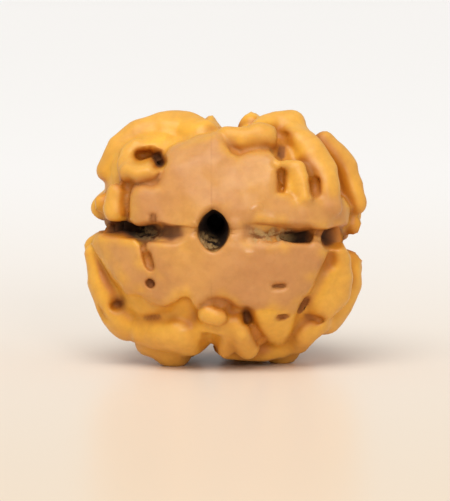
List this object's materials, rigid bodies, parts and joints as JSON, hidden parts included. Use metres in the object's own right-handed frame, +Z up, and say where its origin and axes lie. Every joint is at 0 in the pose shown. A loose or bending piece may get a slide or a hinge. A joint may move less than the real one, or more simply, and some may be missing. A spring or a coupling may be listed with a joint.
{
  "type": "rudraksha_bead",
  "caption": "Rudraksha bead: a dried, lobed fruit stone with ridges, knobs, pits and clefts, and a hole through it for a cord",
  "frame": {"origin": "Middle of the bead's width and depth, on the ground that the bead stands on", "axes": "+X to the right across the front face, along the two side clefts; +Y to the back, along the hole for the cord; +Z up"},
  "size_m": [0.0208, 0.0184, 0.0188],
  "materials": {
    "dried_stone": "satin"
  },
  "bodies": {
    "root": {"bead": "dried_stone"}
  },
  "joints": []
}
